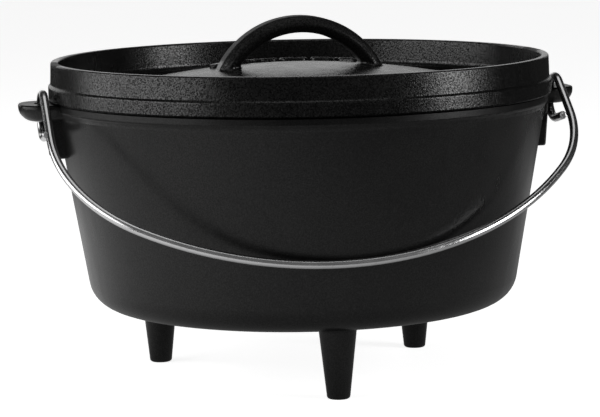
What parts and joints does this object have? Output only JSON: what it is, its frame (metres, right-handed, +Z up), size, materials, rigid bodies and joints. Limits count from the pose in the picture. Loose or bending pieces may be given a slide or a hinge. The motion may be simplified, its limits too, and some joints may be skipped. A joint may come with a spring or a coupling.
{
  "type": "camp dutch oven",
  "caption": "Cast iron camp oven: round pot on short legs, flanged lid with a dome and loop handle, and a wire bail hooked through ears.",
  "frame": {"origin": "on the surface that the feet stand on, under the middle of the pot", "axes": "+Z up along the axis of the pot, +X through one ear, -Y towards the front leg and the hanging bail"},
  "size_m": [0.3714, 0.3308, 0.2358],
  "materials": {
    "pot_iron": "satin seasoned iron",
    "lid_iron": "satin seasoned iron, pebbled",
    "bail_steel": "bright drawn wire"
  },
  "bodies": {
    "pot": {"pot": "pot_iron"},
    "lid": {"lid": "lid_iron"},
    "bail": {"bail": "bail_steel"}
  },
  "joints": [
    {"name": "bail_swing", "type": "hinge", "parent": "pot", "child": "bail", "pos_m": [0, -0.01315, 0.177], "axis": [-1, 0, 0], "range_deg": [0, 135]},
    {"name": "lid_lift", "type": "slide", "parent": "pot", "child": "lid", "axis": [0, 0, 1], "range_m": [0, 0.17]}
  ]
}
